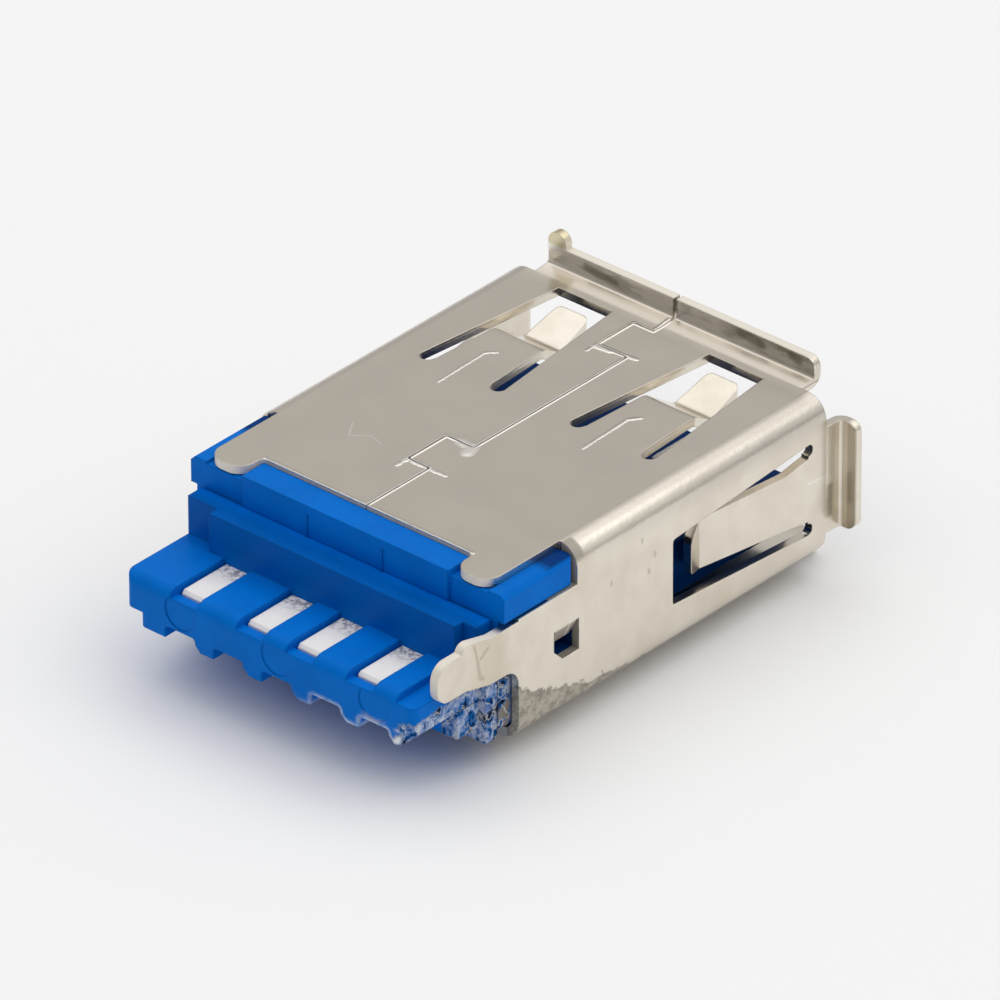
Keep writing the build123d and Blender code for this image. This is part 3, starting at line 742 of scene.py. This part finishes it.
def blue_material():
    """Satin blue moulding, pale and mottled along the lower edges of its near corner, partly scuffs and
    partly a painted reflection and soft shadow of the floor.
    """
    material, tree, shader = new_material("blue_moulding")
    place = drawing_place(tree)
    grain = noise(tree, place, *BLUE_GRAIN_NOISE)
    patch = noise(tree, place, *PATCH_NOISE)
    side = rubbed_side_and_reflection(tree, place)
    worn_and_reflected = strongest(tree, [rubbed_rim_and_reflection(tree, place), side])
    wear_and_reflection = mix(tree, side, colour_steps(tree, patch, RUBBED_RIM_AND_REFLECTION), torn_and_reflected_colour(tree, place, patch))
    # Pale mottling along the lower near edges: partly wear, partly a painted reflection and soft shadow.
    colour = mix(tree, worn_and_reflected, shaded_blue(tree, place), wear_and_reflection)

    normal = bump(tree, grain, *BLUE_RELIEF, rounded_normal(tree, MOULD_EDGE))
    normal = bump(tree, product(tree, patch, worn_and_reflected), *WORN_RELIEF, normal)
    roughness = spread(tree, grain, *NOISE_RANGE, *BLUE_ROUGHNESS)
    roughness = calc(tree, "ADD", roughness, product(tree, worn_and_reflected, WORN_ROUGHNESS))
    tree.links.new(colour, shader.inputs["Base Color"])
    tree.links.new(roughness, shader.inputs["Roughness"])
    tree.links.new(normal, shader.inputs["Normal"])
    shader.inputs["Specular IOR Level"].default_value = BLUE_SPECULAR
    return material


def tin_material():
    """Matt tin plating on the contact strips, with mottled painted shade, standing in for the bar's dark
    reflection, where the tails leave the moulding.
    """
    material, tree, shader = new_material("tin_plating")
    place = drawing_place(tree)
    _, y, _ = axes(tree, place)
    cloud = noise(tree, place, *TIN_CLOUD_NOISE)
    mottle = noise(tree, place, *TIN_MOTTLE_NOISE)
    shade = product(tree, band(tree, y, TAIL_GREY_Y), spread(tree, mottle, *TIN_SHADE_MOTTLE))
    colour = mix(tree, spread(tree, cloud, *TIN_CLOUDS), TIN, TIN_DULL)
    # Painted shade and dark reflection of the bar on the tails near the moulding.
    colour = mix(tree, shade, colour, TIN_PAINTED_SHADE)
    normal = bump(tree, mottle, *TIN_RELIEF, rounded_normal(tree, SHEET_EDGE))
    tree.links.new(colour, shader.inputs["Base Color"])
    tree.links.new(spread(tree, cloud, *NOISE_RANGE, *TIN_ROUGHNESS), shader.inputs["Roughness"])
    tree.links.new(normal, shader.inputs["Normal"])
    shader.inputs["Metallic"].default_value = 0.0
    return material


def floor_material():
    """Plain matt floor."""
    material, _, shader = new_material("pale_floor")
    shader.inputs["Base Color"].default_value = FLOOR_COLOUR
    shader.inputs["Roughness"].default_value = FLOOR_ROUGHNESS
    shader.inputs["Specular IOR Level"].default_value = FLOOR_SPECULAR
    return material


def dress_nodes():
    """Gives each CAD node its finish."""
    finishes = {"shell": shell_material(), "insulator": blue_material()}
    finishes["solder_block"] = finishes["insulator"]
    tin = tin_material()
    for name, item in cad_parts.items():
        item.data.materials.clear()
        item.data.materials.append(finishes.get(name, tin))


def make_floor():
    """Large pale floor at the level of the object's lowest point."""
    half = FLOOR_SIZE / 2
    mesh = bpy.data.meshes.new("floor")
    corners = [(-half, -half, 0), (half, -half, 0), (half, half, 0), (-half, half, 0)]
    mesh.from_pydata(corners, [], [(0, 1, 2, 3)])
    floor = bpy.data.objects.new("floor", mesh)
    floor.location.z = cad_box[0][2]
    bpy.context.scene.collection.objects.link(floor)
    mesh.materials.append(floor_material())


def view_axes():
    """Right, up and back directions of the photograph's camera."""
    back = Vector((
        math.sin(CAMERA_AZIMUTH) * math.cos(CAMERA_ELEVATION),
        -math.cos(CAMERA_AZIMUTH) * math.cos(CAMERA_ELEVATION),
        math.sin(CAMERA_ELEVATION),
    ))
    right = Vector((math.cos(CAMERA_AZIMUTH), math.sin(CAMERA_AZIMUTH), 0.0))
    up = back.cross(right)
    turn = Matrix.Rotation(CAMERA_ROLL, 3, back)
    return turn @ right, turn @ up, back


def make_camera():
    """Long-lens camera at the photograph's angle."""
    right, up, back = view_axes()
    data = bpy.data.cameras.new("camera")
    data.lens = CAMERA_LENS
    data.sensor_width = SENSOR_WIDTH
    data.clip_start, data.clip_end = CAMERA_CLIP
    camera = bpy.data.objects.new("camera", data)
    turn = Matrix((right, up, back)).transposed().to_4x4()
    camera.matrix_world = Matrix.Translation(CAMERA_AIM + back * CAMERA_DISTANCE) @ turn
    bpy.context.scene.collection.objects.link(camera)
    bpy.context.scene.camera = camera


def soft_spot(tree, direction, toward, inner, outer, strength):
    """A soft area of the surround: full strength within one angle of a direction, none past another."""
    cosine = vector_calc(tree, "DOT_PRODUCT", direction, tuple(Vector(toward).normalized()))
    made = node(tree, "ShaderNodeMapRange", {"interpolation_type": "SMOOTHSTEP"}, _0=cosine,
                _1=math.cos(math.radians(outer)), _2=math.cos(math.radians(inner)), _3=0.0, _4=strength)
    return made.outputs["Result"]


def make_light():
    """Soft studio surround: a wide softbox overhead, one to the left, and a dim side at the camera."""
    world = bpy.data.worlds.new("surround")
    world.use_nodes = True
    bpy.context.scene.world = world
    tree = world.node_tree
    background = tree.nodes["Background"]
    direction = node(tree, "ShaderNodeTexCoord").outputs["Generated"]
    _, y, _ = axes(tree, direction)
    level = spread(tree, y, *AMBIENT_TURN, *AMBIENT_RANGE)
    for toward, inner, outer, strength in SOFT_AREAS:
        level = calc(tree, "ADD", level, soft_spot(tree, direction, toward, inner, outer, strength))
    path = node(tree, "ShaderNodeLightPath")
    colour = node(tree, "ShaderNodeCombineColor", _0=level, _1=level, _2=level).outputs[0]
    seen = mix(tree, path.outputs["Is Camera Ray"], colour, BACKDROP)
    tree.links.new(seen, background.inputs["Color"])
    background.inputs["Strength"].default_value = 1.0


bpy.context.scene.view_settings.view_transform = "Standard"
dress_nodes()
make_floor()
make_camera()
make_light()
